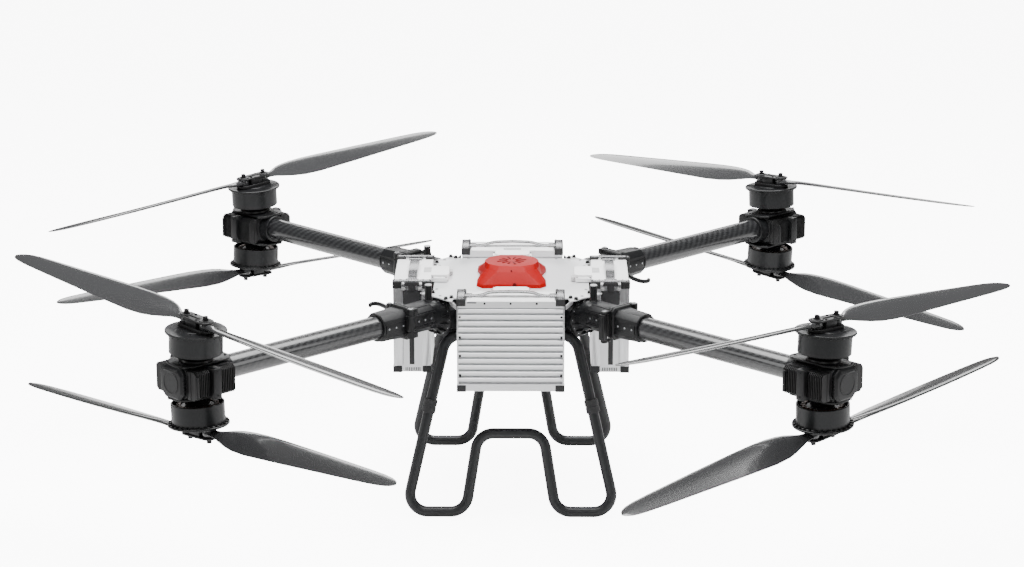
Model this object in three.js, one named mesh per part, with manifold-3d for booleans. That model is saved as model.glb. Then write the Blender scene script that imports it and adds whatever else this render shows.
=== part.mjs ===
// Agricultural spray drone: four folding arms, eight coaxial motors, four clip-on batteries.
// Millimetres. +X right, +Y back, +Z up, z = 0 at the underside of the landing gear feet.
import * as THREE from "three";
import { mergeVertices } from "three/addons/utils/BufferGeometryUtils.js";
import Module from "manifold-3d";

const wasm = await Module();
wasm.setup();

// ---------------------------------------------------------------- driving dimensions
const GAP = 0.3; // clearance between neighbouring pieces

const MOTOR_RADIUS = 1070; // hub centre to pod centre, along the arm
const ARM_Z = 529; // arm axis height
const POD_Z = 525; // pod centre height
const CANT = 3; // degrees each motor leans about its arm axis
const ARMS = [
  { key: "front_left", angle: 225, upperSpin: -1, post: { u: 303, top: 609 }, hooked: true },
  { key: "front_right", angle: 315, upperSpin: 1, post: { u: 303, top: 609 }, hooked: false },
  { key: "back_left", angle: 135, upperSpin: 1, post: { u: 331, top: 598 }, hooked: false },
  { key: "back_right", angle: 45, upperSpin: -1, hooked: true },
];
const SIDES = [
  { key: "front", angle: 270 },
  { key: "back", angle: 90 },
  { key: "left", angle: 180 },
  { key: "right", angle: 0 },
];

const HUB = { low: 459, high: 570, plate: 4, half: 178, wall: 6, ear: 265, earHalf: 46 };
const PLATE = { half: 205, earStart: 148, ear: 277, earHalf: 60 };
const HOOD = { height: 47, wall: 3 };
const BATTERY = { inner: 210, outer: 312, half: 139.5, low: 347, high: 597, top: 588, corner: 24 };
const STRAP = { half: 117, rise: 15.4, low: 3, width: 24, thick: 3 };

const ROOT = { inner: 265, flare: 277, neck: 300, face: 399.5, halfFlange: 43 };
const SLEEVE = { face: 400.5, flange: 408, end: 488 };
const TUBE = { outer: 30, inner: 27, start: 412, end: 992 };
const HINGE = { u: 406, v: 44, r: 10, pin: 5.5, low: 494, high: 571 };
const LATCH = { u: 392, v: -52, r: 8, pin: 3.5, low: 482, high: 565 };

const BELL = { r: 65.5, wall: 4, low: 63, rimR: 75.5, rimLow: 114, rimHigh: 120 };
const CLAMP = { length: 58, halfWidth: 21, rootLow: 129, rootHigh: 145, top: 151, boltTop: 162 };
const BOLT = { offset: 36, r: 6 };
const STATOR = { r: 55, low: 66, high: 111, neckR: 30, baseR: 41, baseHigh: 52 };
const PARK = 0.8; // degrees the parked blades stand off square
const BLADE_TIP = 675; // fold bolt to tip

const LEG = { r: 14, bend: 46 };

// ---------------------------------------------------------------- solid helpers
const rad = THREE.MathUtils.degToRad;
const V3 = (x, y, z) => new THREE.Vector3(x, y, z);

function solid(geometry) {
  const plain = geometry.index ? geometry.toNonIndexed() : geometry;
  const bare = new THREE.BufferGeometry().setAttribute("position", plain.getAttribute("position"));
  const merged = mergeVertices(bare, 1e-4);
  const make = (tris) =>
    new wasm.Manifold(
      new wasm.Mesh({ numProp: 3, vertProperties: merged.attributes.position.array, triVerts: tris }),
    );
  const triangles = new Uint32Array(merged.index.array);
  const made = make(triangles);
  if (made.volume() > 0) return made;
  for (let i = 0; i < triangles.length; i += 3)
    [triangles[i + 1], triangles[i + 2]] = [triangles[i + 2], triangles[i + 1]];
  return make(triangles);
}

function surface(body) {
  const mesh = body.getMesh();
  const geometry = new THREE.BufferGeometry();
  const points = new Float32Array(mesh.triVerts.length * 3);
  mesh.triVerts.forEach((vertex, i) => {
    for (let k = 0; k < 3; k++) points[3 * i + k] = mesh.vertProperties[mesh.numProp * vertex + k];
  });
  geometry.setAttribute("position", new THREE.BufferAttribute(points, 3));
  geometry.computeVertexNormals();
  return geometry;
}

const join = (...parts) => surface(wasm.Manifold.union(parts.map(solid)));
const cut = (base, ...tools) => surface(solid(base).subtract(wasm.Manifold.union(tools.map(solid))));

// Axis-aligned block given its low and high corners.
function block(x0, x1, y0, y1, z0, z1) {
  const box = new THREE.BoxGeometry(x1 - x0, y1 - y0, z1 - z0);
  return box.translate((x0 + x1) / 2, (y0 + y1) / 2, (z0 + z1) / 2);
}

// Polygon in XY raised from z0 to z1.
function prism(outline, z0, z1) {
  const shape = new THREE.Shape(outline.map(([x, y]) => new THREE.Vector2(x, y)));
  const body = new THREE.ExtrudeGeometry(shape, { depth: z1 - z0, bevelEnabled: false });
  return body.translate(0, 0, z0);
}

// Upright cylinder.
function post(r, x, y, z0, z1, sides = 12) {
  const body = new THREE.CylinderGeometry(r, r, z1 - z0, sides);
  return body.rotateX(Math.PI / 2).translate(x, y, (z0 + z1) / 2);
}

// Profile of [radius, z] pairs turned about Z.
function turned(profile, sides = 24) {
  const body = new THREE.LatheGeometry(
    profile.map(([r, z]) => new THREE.Vector2(r, z)),
    sides,
  );
  return body.rotateX(Math.PI / 2);
}

// Skin over rings of equal point count, closed by fans at both ends.
function loft(rings) {
  const points = [];
  const count = rings[0].length;
  const face = (a, b, c) => points.push(a, b, c);
  for (let i = 0; i + 1 < rings.length; i++)
    for (let k = 0; k < count; k++) {
      const n = (k + 1) % count;
      face(rings[i][k], rings[i][n], rings[i + 1][n]);
      face(rings[i][k], rings[i + 1][n], rings[i + 1][k]);
    }
  const last = rings[rings.length - 1];
  for (let k = 1; k + 1 < count; k++) {
    face(rings[0][0], rings[0][k + 1], rings[0][k]);
    face(last[0], last[k], last[k + 1]);
  }
  return new THREE.BufferGeometry().setFromPoints(points);
}

// Octagon of half width a and half height b about (0, zc), in the plane at distance u along X.
function octagon(u, a, b, chamfer, zc) {
  const c = chamfer;
  const ring = [
    [a, b - c],
    [a - c, b],
    [c - a, b],
    [-a, b - c],
    [-a, c - b],
    [c - a, -b],
    [a - c, -b],
    [a, c - b],
  ];
  return ring.map(([y, z]) => V3(u, y, zc + z));
}

// Closed loop of round bar through corner points, every corner rounded to its own radius.
function bar(corners, r, sides = 8) {
  const path = [];
  const count = corners.length;
  corners.forEach((corner, i) => {
    const before = corners[(i + count - 1) % count].at.clone().sub(corner.at).normalize();
    const after = corners[(i + 1) % count].at.clone().sub(corner.at).normalize();
    const half = before.angleTo(after) / 2;
    const middle = before.clone().add(after).normalize();
    const centre = corner.at.clone().addScaledVector(middle, corner.bend / Math.sin(half));
    const start = corner.at.clone().addScaledVector(before, corner.bend / Math.tan(half));
    const normal = before.clone().cross(after).normalize();
    const spoke = start.sub(centre);
    const turn = Math.PI - 2 * half;
    const steps = Math.ceil(turn / rad(24));
    for (let k = 0; k <= steps; k++)
      path.push(centre.clone().add(spoke.clone().applyAxisAngle(normal, (-turn * k) / steps)));
  });
  const steps = path.length;
  const curve = new THREE.Curve();
  curve.getPointAt = (t, target = V3(0, 0, 0)) => target.copy(path[Math.round(t * steps) % steps]);
  curve.getTangentAt = (t, target = V3(0, 0, 0)) => {
    const i = Math.round(t * steps) % steps;
    const previous = (i + steps - 1) % steps;
    const next = (i + 1) % steps;
    const into = path[i].clone().sub(path[previous]).normalize();
    const out = path[next].clone().sub(path[i]).normalize();
    return target.copy(into.add(out).normalize());
  };
  return new THREE.TubeGeometry(curve, steps, r, sides, true);
}

// ---------------------------------------------------------------- scene helpers
const group = new THREE.Group();
group.name = "agricultural_spray_drone";

const PAINT = {
  silver: [0xd9dadc, 0.35, 0.8],
  white: [0xeeeeee, 0.5, 0.0],
  black: [0x1b1c1e, 0.45, 0.2],
  carbon: [0x222326, 0.25, 0.1],
  coating: [0x2c2e31, 0.4, 0.3],
  red: [0xd5141c, 0.3, 0.0],
  blade: [0x3a3b3d, 0.35, 0.0],
  board: [0x1f5130, 0.6, 0.0],
};

function add(name, geometry, paint, matrix) {
  const [color, roughness, metalness] = PAINT[paint];
  const material = new THREE.MeshStandardMaterial({ color, roughness, metalness, flatShading: true });
  const mesh = new THREE.Mesh(geometry, material);
  mesh.name = name;
  if (matrix) mesh.applyMatrix4(matrix);
  group.add(mesh);
}

const about = (degrees) => new THREE.Matrix4().makeRotationZ(rad(degrees));

// ---------------------------------------------------------------- landing gear
// Each hoop is one closed bent tube: top bar under the hub's edge, outer legs, two flat feet,
// inner legs and a middle bar. Points are for the front hoop; the back one is its mirror.
const LEG_TOP = { x: 168, y: 194.5, z: 468 };
const LEG_PLANE = (z) => -(295 - 0.175 * (z - 14));
const legCorners = (side) => {
  const at = (x, z, bend) => ({ at: V3(side * x, LEG_PLANE(z), z), bend });
  return [
    { at: V3(side * LEG_TOP.x, -LEG_TOP.y, LEG_TOP.z), bend: 50 },
    { at: V3(side * 212.6, -248.5, 283), bend: 300 },
    at(275, 14, LEG.bend),
    at(118, 14, LEG.bend),
    at(85, 218, LEG.bend),
  ];
};
const hoopCorners = [...legCorners(1), ...legCorners(-1).reverse()];
const COLLAR = { r: 18, half: 17.5 };

function collar(side) {
  const ring = new THREE.CylinderGeometry(COLLAR.r, COLLAR.r, 2 * COLLAR.half, 10);
  ring.rotateX(Math.PI / 2);
  const along = V3(side * 62, -47, -269).normalize();
  const turn = new THREE.Quaternion().setFromUnitVectors(V3(0, 0, -1), along);
  return ring.applyQuaternion(turn).translate(side * 212, -247.5, 290);
}

function landingGear() {
  return join(bar(hoopCorners, LEG.r), collar(1), collar(-1));
}

const saddle = (extra) => bar(hoopCorners, LEG.r + extra);
add("landing_gear_front", landingGear(), "coating");
add("landing_gear_back", landingGear(), "coating", about(180));

// ---------------------------------------------------------------- hub
// A square tub with four corner ears that carry the arm roots, shut by two plates.
function earBlock(angle, inner, outer, half, low, high) {
  const chamfer = 26;
  const middle = (low + high) / 2;
  const ring = (u) => octagon(u, half, (high - low) / 2, chamfer, middle);
  return loft([ring(inner), ring(outer)]).rotateZ(rad(angle));
}

const tubLow = HUB.low + HUB.plate + GAP;
const tubHigh = HUB.high - HUB.plate - GAP;
const RAIL = { low: 488, high: 556, half: 10, spacing: 60 };

function hubFrame() {
  const h = HUB.half;
  const w = HUB.wall;
  const outer = block(-h, h, -h, h, tubLow, tubHigh);
  const ears = ARMS.map(({ angle }) => earBlock(angle, 225, HUB.ear, HUB.earHalf, tubLow, tubHigh));
  const rails = SIDES.flatMap(({ angle }) =>
    [-1, 1].map((side) => {
      const t = side * RAIL.spacing;
      const reach = BATTERY.inner;
      return block(h - 1, reach, t - RAIL.half, t + RAIL.half, RAIL.low, RAIL.high).rotateZ(rad(angle));
    }),
  );
  const shell = join(outer, ...ears, ...rails);
  const hollow = prism(
    [
      [w - h, 120 - h],
      [120 - h, w - h],
      [h - 120, w - h],
      [h - w, 120 - h],
      [h - w, h - 120],
      [h - 120, h - w],
      [120 - h, h - w],
      [w - h, h - 120],
    ],
    tubLow - 1,
    tubHigh + 1,
  );
  return cut(shell, hollow, saddle(1.5), saddle(1.5).rotateZ(Math.PI));
}
add("hub_frame", hubFrame(), "black");

// Plate outline: straight edges behind the batteries and a flared ear at each corner.
function plateOutline(half, earStart, ear, earHalf) {
  const quarter = [
    [half, earStart],
    [(ear + earHalf) / Math.SQRT2, (ear - earHalf) / Math.SQRT2],
    [(ear - earHalf) / Math.SQRT2, (ear + earHalf) / Math.SQRT2],
    [earStart, half],
  ];
  return [0, 1, 2, 3].flatMap((turns) =>
    quarter.map(([x, y]) => {
      const spun = new THREE.Vector2(x, y).rotateAround(new THREE.Vector2(), (turns * Math.PI) / 2);
      return [spun.x, spun.y];
    }),
  );
}
const topOutline = plateOutline(PLATE.half, PLATE.earStart, PLATE.ear, PLATE.earHalf);
add("top_plate", prism(topOutline, HUB.high - HUB.plate, HUB.high), "silver");

const LOWER_PLATE = { half: 170, chamfer: 30 };
function lowerOutline() {
  const h = LOWER_PLATE.half;
  const c = h - LOWER_PLATE.chamfer;
  return [
    [h, -c],
    [h, c],
    [c, h],
    [-c, h],
    [-h, c],
    [-h, -c],
    [-c, -h],
    [c, -h],
  ];
}
add("bottom_plate", prism(lowerOutline(), HUB.low, HUB.low + HUB.plate), "black");

// Electronics inside the tub, standing on the bottom plate.
const floor = HUB.low + HUB.plate + GAP;
const boardFeet = (x, y) => [
  post(4, x, y, floor, floor + 9, 8),
  post(4, -x, y, floor, floor + 9, 8),
  post(4, x, -y, floor, floor + 9, 8),
  post(4, -x, -y, floor, floor + 9, 8),
];
add("power_board", join(block(-70, 70, -60, 60, floor + 8, floor + 14), ...boardFeet(60, 50)), "board");
const shelf = floor + 14 + GAP;
add(
  "flight_controller",
  join(block(-38, 38, -26, 26, shelf, shelf + 26), block(-12, 12, -34, 34, shelf + 3, shelf + 14)),
  "black",
);

// ---------------------------------------------------------------- red hood
// A faceted cover: a wide crown over steep sides that run out into four feet.
const HOOD_BASE = HUB.high + GAP;
function hoodShape(inset, drop) {
  const crown = HOOD.height - drop;
  const ring = (points, z) => points.map(([x, y]) => V3(x, y, HOOD_BASE + z));
  const s = (value) => value - inset;
  const symmetric = (points) => [
    ...points,
    ...points.map(([x, y]) => [-x, y]).reverse(),
    ...points.map(([x, y]) => [-x, -y]),
    ...points.map(([x, y]) => [x, -y]).reverse(),
  ];
  const foot = symmetric([
    [s(80), 13],
    [s(92), 57],
    [s(92.5), 90],
    [76, s(112)],
    [36, s(110)],
  ]);
  const brow = symmetric([
    [s(79), 13],
    [s(91), 57],
    [s(90), 87],
    [74, s(108)],
    [36, s(106)],
  ]);
  const shoulder = symmetric([
    [s(73), 12],
    [s(67), 43],
    [s(60), 52],
    [38, s(76)],
    [33, s(78)],
  ]);
  const top = symmetric([
    [s(71), 9],
    [s(61), 35],
    [s(57), 39],
    [32, s(59)],
    [28, s(60)],
  ]);
  return loft([ring(foot, -drop), ring(brow, 9 - drop), ring(shoulder, crown - 11), ring(top, crown)]);
}
const browArch = block(-35, 35, -140, 140, HOOD_BASE - 1, HOOD_BASE + 5);
add("red_hood", cut(hoodShape(0, 0), hoodShape(HOOD.wall, HOOD.wall), browArch), "red");

// ---------------------------------------------------------------- arm root
// A cast eight-sided arm root bolted to the hub's ear. It ends in a split flange with the fold
// hinge on one side and the latch pivot on the other.
const HINGE_EAR = { low: 511, high: 554 }; // the moving knuckle fills this band
function armRoot({ post: mast }) {
  const flare = loft([
    octagon(ROOT.inner + GAP, 50, 51, 26, 513.5),
    octagon(ROOT.flare, 50, 51, 26, 513.5),
    octagon(ROOT.neck, 35, 37, 15, ARM_Z),
    octagon(388, 33, 34, 14, ARM_Z),
  ]);
  const plainFlange = loft([
    octagon(387, 38, ROOT.halfFlange, 8, ARM_Z),
    octagon(ROOT.face, 38, ROOT.halfFlange, 8, ARM_Z),
  ]);
  const sweep = post(HINGE.r + 1.2, HINGE.u, HINGE.v, HINGE_EAR.low, HINGE_EAR.high, 24);
  const flange = cut(plainFlange, sweep);
  const knuckle = (low, high) => [
    post(HINGE.r, HINGE.u, HINGE.v, low, high),
    block(388, ROOT.face, 30, HINGE.v + HINGE.r - 1, low, high),
    block(388, HINGE.u, 40, HINGE.v + HINGE.r - 1, low, high),
  ];
  const latchEar = (low, high) => [
    post(LATCH.r + 1, LATCH.u, LATCH.v, low, high),
    block(384, ROOT.face, LATCH.v, -34, low, high),
  ];
  const pieces = [
    flare,
    flange,
    ...knuckle(HINGE.low, HINGE_EAR.low),
    ...knuckle(HINGE_EAR.high, HINGE.high),
    post(HINGE.pin, HINGE.u, HINGE.v, HINGE.low, HINGE.high),
    ...latchEar(LATCH.low, LATCH.low + 7),
    ...latchEar(LATCH.high - 7, LATCH.high),
    post(LATCH.pin, LATCH.u, LATCH.v, LATCH.low, LATCH.high, 10),
  ];
  if (mast) pieces.push(post(9.5, mast.u, 0, 558, mast.top));
  const whole = join(...pieces);
  const bore = new THREE.CylinderGeometry(26, 26, 200, 12).rotateZ(Math.PI / 2).translate(340, 0, ARM_Z);
  return cut(whole, bore);
}

// ---------------------------------------------------------------- fold sleeve
function foldSleeve() {
  const flange = loft([
    octagon(SLEEVE.face, 38, ROOT.halfFlange, 8, ARM_Z),
    octagon(SLEEVE.flange, 38, ROOT.halfFlange, 8, ARM_Z),
  ]);
  const body = loft([
    octagon(SLEEVE.flange - 1, 36, 38, 15, ARM_Z),
    octagon(430, 35.5, 36.5, 15, ARM_Z),
    octagon(SLEEVE.end, 33.5, 34.5, 14, ARM_Z),
  ]);
  const low = HINGE_EAR.low + GAP;
  const high = HINGE_EAR.high - GAP;
  const knuckle = [
    post(HINGE.r, HINGE.u, HINGE.v, low, high),
    block(SLEEVE.face + 5, 416, 30, HINGE.v + 6, low, high),
  ];
  const bore = new THREE.CylinderGeometry(TUBE.outer + GAP, TUBE.outer + GAP, 120, 24)
    .rotateZ(Math.PI / 2)
    .translate(450, 0, ARM_Z);
  const pinHole = post(HINGE.pin + 0.6, HINGE.u, HINGE.v, low - 1, high + 1);
  const fixedSide = [
    post(HINGE.r + 1.2, HINGE.u, HINGE.v, 480, low),
    post(HINGE.r + 1.2, HINGE.u, HINGE.v, high, 580),
    block(380, SLEEVE.face, -60, 60, 480, 580),
  ];
  return cut(join(flange, body, ...knuckle), bore, pinHole, ...fixedSide);
}

// ---------------------------------------------------------------- arm tube
function armTube() {
  const profile = [
    [TUBE.inner, 0],
    [TUBE.outer, 0],
    [TUBE.outer, TUBE.end - TUBE.start],
    [TUBE.inner, TUBE.end - TUBE.start],
    [TUBE.inner, 0],
  ];
  return turned(profile).rotateY(Math.PI / 2).translate(TUBE.start, 0, ARM_Z);
}

// ---------------------------------------------------------------- latch lever
// A barrel on the latch pin. One diagonal pair carries a flat handle that bows and curls outward
// at its tip, built pointing along +X from the pivot; the other pair carries a short upright bar.
const LEVER = { swungOut: 240, low: 523, high: 535, half: 4.5 };
const LATCH_BAR = { half: 9.5, inner: 2, outer: 12 };

function hookHandle() {
  const spine = [
    [2, -3],
    [30, -11],
    [62, -13],
    [98, -9],
    [124, 0],
    [134, 12],
    [129, 23],
    [116, 28],
  ];
  const sides = spine.map(([x, y], i) => {
    const [px, py] = spine[Math.max(i - 1, 0)];
    const [nx, ny] = spine[Math.min(i + 1, spine.length - 1)];
    const length = Math.hypot(nx - px, ny - py);
    const across = [(-(ny - py) / length) * LEVER.half, ((nx - px) / length) * LEVER.half];
    return { left: [x + across[0], y + across[1]], right: [x - across[0], y - across[1]] };
  });
  const outline = [...sides.map(({ right }) => right), ...sides.map(({ left }) => left).reverse()];
  return prism(outline, LEVER.low, LEVER.high);
}

function latchLever(hooked) {
  const low = LATCH.low + 7 + GAP;
  const high = LATCH.high - 7 - GAP;
  const { half, inner, outer } = LATCH_BAR;
  const handle = hooked ? hookHandle() : block(-half, half, -outer, -inner, low, high);
  const hole = post(LATCH.pin + 0.6, 0, 0, LATCH.low, LATCH.high, 10);
  return cut(join(post(LATCH.r, 0, 0, low, high), handle), hole);
}

// ---------------------------------------------------------------- motor pod
// A block between the two motors: tube socket inward, octagonal cap outward, cooled speed
// controllers on both sides and a fixed stator above and below. Built about the pod centre.
const POD = { core: 62, side: 86, height: 42 };
function motorPod() {
  const axis = ARM_Z - POD_Z;
  const core = loft([
    octagon(-POD.core, 44, POD.height, 12, 0),
    octagon(POD.core, 44, POD.height, 12, 0),
  ]);
  const cap = loft([
    octagon(POD.core - 1, 42.5, 41, 16, 0),
    octagon(71, 42.5, 41, 16, 0),
    octagon(77, 36, 35, 13, 0),
  ]);
  const collarRing = new THREE.CylinderGeometry(38, 38, 30, 12)
    .rotateZ(Math.PI / 2)
    .translate(-POD.core - 14, 0, axis);
  const coolers = [-1, 1].flatMap((side) => {
    const panel = block(-58, 58, 40, POD.side - 8, -36, 36);
    const boss = block(-16, 16, 40, POD.side, -39, 39);
    return [panel, boss].map((piece) => piece.rotateZ(side > 0 ? 0 : Math.PI));
  });
  const stators = [1, -1].map((up) => {
    const profile = [
      [0, 20],
      [STATOR.baseR, 20],
      [STATOR.baseR, STATOR.baseHigh],
      [STATOR.neckR, STATOR.baseHigh],
      [STATOR.neckR, STATOR.low],
      [STATOR.r, STATOR.low],
      [STATOR.r, STATOR.high],
      [0, STATOR.high],
    ];
    const body = turned(profile, 12);
    if (up < 0) body.rotateX(Math.PI);
    return body.rotateX(rad(-CANT * up));
  });
  const bore = new THREE.CylinderGeometry(TUBE.outer + GAP, TUBE.outer + GAP, 60, 24)
    .rotateZ(Math.PI / 2)
    .translate(TUBE.end + GAP - MOTOR_RADIUS - 30, 0, axis);
  return cut(join(core, cap, collarRing, ...coolers, ...stators), bore);
}

// ---------------------------------------------------------------- rotor bell
// The turning can of an outrunner motor with its rim disc, the blade clamp and both fold bolts.
function rotorBell() {
  const inner = BELL.r - BELL.wall;
  const can = turned(
    [
      [inner, BELL.low],
      [BELL.r, BELL.low],
      [BELL.r, BELL.rimLow],
      [BELL.rimR, BELL.rimLow],
      [BELL.rimR, BELL.rimHigh],
      [0, BELL.rimHigh],
      [0, STATOR.high + 1],
      [inner, STATOR.high + 1],
      [inner, BELL.low],
    ],
    20,
  );
  const base = block(
    -CLAMP.length,
    CLAMP.length,
    -CLAMP.halfWidth,
    CLAMP.halfWidth,
    BELL.rimHigh - 1,
    CLAMP.rootLow - GAP,
  );
  const lid = block(
    -CLAMP.length,
    CLAMP.length,
    -CLAMP.halfWidth,
    CLAMP.halfWidth,
    CLAMP.rootHigh + GAP,
    CLAMP.top,
  );
  const core = post(12, 0, 0, BELL.rimHigh, CLAMP.top, 8);
  const bolts = [-1, 1].map((side) =>
    post(BOLT.r, side * BOLT.offset, 0, BELL.rimHigh, CLAMP.boltTop, 8),
  );
  return join(can, base, lid, core, ...bolts);
}

// ---------------------------------------------------------------- blade
// Built along +X from its fold bolt, leading edge towards +Y, for a rotor that turns
// counter-clockwise seen from above. Each station: distance, chord, leading edge, thickness, pitch.
const STATIONS = [
  [12, 30, 15, 15, 0],
  [34, 33, 18, 12.5, 5],
  [58, 52, 30, 11, 13],
  [92, 72, 40, 10.3, 17],
  [130, 86, 45, 9.8, 17.5],
  [240, 90, 45, 8.7, 15.5],
  [400, 78.5, 36.5, 7.2, 12.2],
  [560, 62.5, 25, 5.3, 9.6],
  [640, 46, 14, 3.9, 8.5],
  [BLADE_TIP, 10, -8, 2.2, 8],
];
const SECTION = [
  [0, 0],
  [0.25, 0.58],
  [0.65, 0.42],
  [1, 0.06],
  [0.65, -0.24],
  [0.25, -0.4],
];
const CONE = 0.3; // degrees the blades rise towards the tip
function blade(spin) {
  const middle = (CLAMP.rootLow + CLAMP.rootHigh) / 2;
  const rings = STATIONS.map(([x, chord, lead, thick, pitch]) =>
    SECTION.map(([back, rise]) => {
      const y = lead - back * chord;
      const z = rise * thick;
      const c = Math.cos(rad(pitch));
      const s = Math.sin(rad(pitch));
      return V3(x, spin * (y * c - z * s), y * s + z * c + x * Math.tan(rad(CONE)));
    }),
  );
  const eye = post(15.5, 0, 0, CLAMP.rootLow - middle, CLAMP.rootHigh - middle);
  const hole = post(BOLT.r + 0.8, 0, 0, -20, 20, 8);
  const clampBand = [block(-60, 45, -60, 60, 8, 40), block(-60, 45, -60, 60, -40, -8)];
  return cut(join(loft(rings), eye), hole, ...clampBand);
}

// ---------------------------------------------------------------- battery
// Finned pack with rubber corner guards, a side groove and a connector head that reaches in
// over the top plate. Built with its broad face outward along +X.
const HEAD = { inner: 166, outer: 262, half: 48, low: 571, high: 590.5 };
function battery() {
  const b = BATTERY;
  const body = block(b.inner + 2, b.outer - 2, -b.half + 2.5, b.half - 2.5, b.low + 2, b.top);
  const c = b.corner;
  const guards = [
    [b.inner + GAP, b.inner + c],
    [b.outer - c, b.outer],
  ].flatMap(([x0, x1]) =>
    [
      [-b.half, -b.half + c],
      [b.half - c, b.half],
    ].flatMap(([y0, y1]) => [
      block(x0, x1, y0, y1, b.low, b.low + c - 3),
      block(x0, x1, y0, y1, b.high - c + 3, b.high),
    ]),
  );
  const head = loft([
    octagonFlat(HEAD.low),
    octagonFlat(HEAD.high - 4),
    octagonFlat(HEAD.high, 4),
  ]);
  const tab = block(HEAD.inner - 8, HEAD.inner + 4, -HEAD.half + 4, -HEAD.half + 26, HEAD.low, HEAD.low + 10);
  const grooves = [-1, 1].map((side) => {
    const edge = side * (b.half - 2.5);
    return block(255, 269, edge - 5, edge + 5, b.low + 26, b.high - 90);
  });
  return cut(join(body, ...guards, head, tab), ...grooves);
}

// Rounded rectangle of the connector head at height z.
function octagonFlat(z, inset = 0) {
  const { inner, outer, half } = HEAD;
  const c = 8;
  const ring = [
    [outer - inset, half - c - inset],
    [outer - c - inset, half - inset],
    [inner + c + inset, half - inset],
    [inner + inset, half - c - inset],
    [inner + inset, c - half + inset],
    [inner + c + inset, inset - half],
    [outer - c - inset, inset - half],
    [outer - inset, c - half + inset],
  ];
  return ring.map(([x, y]) => V3(x, y, z));
}

// Sprung strap: flat at both ends on small feet, lifting into a shallow arch over the middle.
function batteryHandle() {
  const { half, rise, low, width, thick } = STRAP;
  const base = BATTERY.top + GAP;
  const x = BATTERY.outer - 51;
  const upper = [
    [-half, low],
    [-88, low],
    [-60, rise - 5],
    [-44, rise - 1.6],
    [0, rise],
    [44, rise - 1.6],
    [60, rise - 5],
    [88, low],
    [half, low],
  ];
  const lower = upper.map(([y, z]) => [y, z - thick]).reverse();
  const strap = prism([...upper, ...lower], -width / 2, width / 2);
  strap.rotateX(Math.PI / 2).rotateZ(Math.PI / 2).translate(x, 0, base);
  const feet = [-1, 1].map((side) => {
    const y = side * (half - 9);
    return block(x - 15, x + 15, y - 8, y + 8, base, base + 5);
  });
  return join(strap, ...feet);
}

// ---------------------------------------------------------------- assembly
for (const side of SIDES) {
  const turn = about(side.angle);
  add(`battery_${side.key}`, battery(), "silver", turn);
  add(`battery_handle_${side.key}`, batteryHandle(), "silver", turn);
}

for (const arm of ARMS) {
  const turn = about(arm.angle);
  const placed = (local) => turn.clone().multiply(local);
  add(`arm_root_${arm.key}`, armRoot(arm), "black", turn);
  add(`fold_sleeve_${arm.key}`, foldSleeve(), "black", turn);
  add(`arm_tube_${arm.key}`, armTube(), "carbon", turn);
  const pod = new THREE.Matrix4().makeTranslation(MOTOR_RADIUS, 0, POD_Z);
  add(`motor_pod_${arm.key}`, motorPod(), "black", placed(pod));

  const swing = about(arm.hooked ? LEVER.swungOut : 0);
  const lever = new THREE.Matrix4().makeTranslation(LATCH.u, LATCH.v, 0).multiply(swing);
  add(`latch_lever_${arm.key}`, latchLever(arm.hooked), "black", placed(lever));

  for (const [level, up] of [
    ["upper", 1],
    ["lower", -1],
  ]) {
    const spin = arm.upperSpin * up;
    const lean = new THREE.Matrix4().makeRotationX(rad(-CANT * up));
    const park = about(90 - PARK * spin * up);
    const rotor = placed(pod.clone().multiply(lean).multiply(park));
    const flip = up > 0 ? new THREE.Matrix4() : new THREE.Matrix4().makeRotationX(Math.PI);
    add(`rotor_${level}_${arm.key}`, rotorBell(), "black", rotor.clone().multiply(flip));
    const middle = (up * (CLAMP.rootLow + CLAMP.rootHigh)) / 2;
    for (const [letter, half] of [
      ["a", 0],
      ["b", 180],
    ]) {
      const seat = about(half).multiply(new THREE.Matrix4().makeTranslation(BOLT.offset, 0, middle));
      add(`blade_${level}_${letter}_${arm.key}`, blade(spin), "blade", rotor.clone().multiply(seat));
    }
  }
}

export default group;
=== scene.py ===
import math

import bmesh
import bpy
from mathutils import Matrix, Vector


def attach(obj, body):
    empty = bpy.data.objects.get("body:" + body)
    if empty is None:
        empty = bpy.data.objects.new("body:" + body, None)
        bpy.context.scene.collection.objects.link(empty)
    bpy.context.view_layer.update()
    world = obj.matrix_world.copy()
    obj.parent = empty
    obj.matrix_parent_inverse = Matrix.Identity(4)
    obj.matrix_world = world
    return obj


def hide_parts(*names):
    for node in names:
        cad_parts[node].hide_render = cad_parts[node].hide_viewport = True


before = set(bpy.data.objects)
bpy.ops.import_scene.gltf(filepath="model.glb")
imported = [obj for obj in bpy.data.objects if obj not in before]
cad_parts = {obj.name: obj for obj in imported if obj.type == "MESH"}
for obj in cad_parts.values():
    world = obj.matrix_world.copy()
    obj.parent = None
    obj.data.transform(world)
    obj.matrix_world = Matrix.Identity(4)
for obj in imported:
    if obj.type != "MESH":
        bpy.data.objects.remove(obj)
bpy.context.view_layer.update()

# ------------------------------------------------------------------ camera, light and floor
# A long lens looks slightly down on the drone from the front. A wide white sweep under soft
# overhead panels lights it evenly, with two side panels for the long highlights on the tubes.
camera_data = bpy.data.cameras.new("studio_camera")
camera_data.lens = 98.378
camera_data.sensor_width = 36
camera_data.clip_end = 100
camera = bpy.data.objects.new("studio_camera", camera_data)
camera.location = (0.0623, -7.2150, 2.5133)
camera.rotation_euler = (math.radians(90 - 15.196), 0, math.radians(0.4876))
bpy.context.scene.collection.objects.link(camera)
bpy.context.scene.camera = camera


def soft_panel(name, place, aim, size, power):
    data = bpy.data.lights.new(name, "AREA")
    data.shape = "RECTANGLE"
    data.size, data.size_y = size
    data.energy = power
    lamp = bpy.data.objects.new(name, data)
    lamp.location = place
    lamp.rotation_euler = (Vector(aim) - Vector(place)).to_track_quat("-Z", "Y").to_euler()
    bpy.context.scene.collection.objects.link(lamp)


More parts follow.
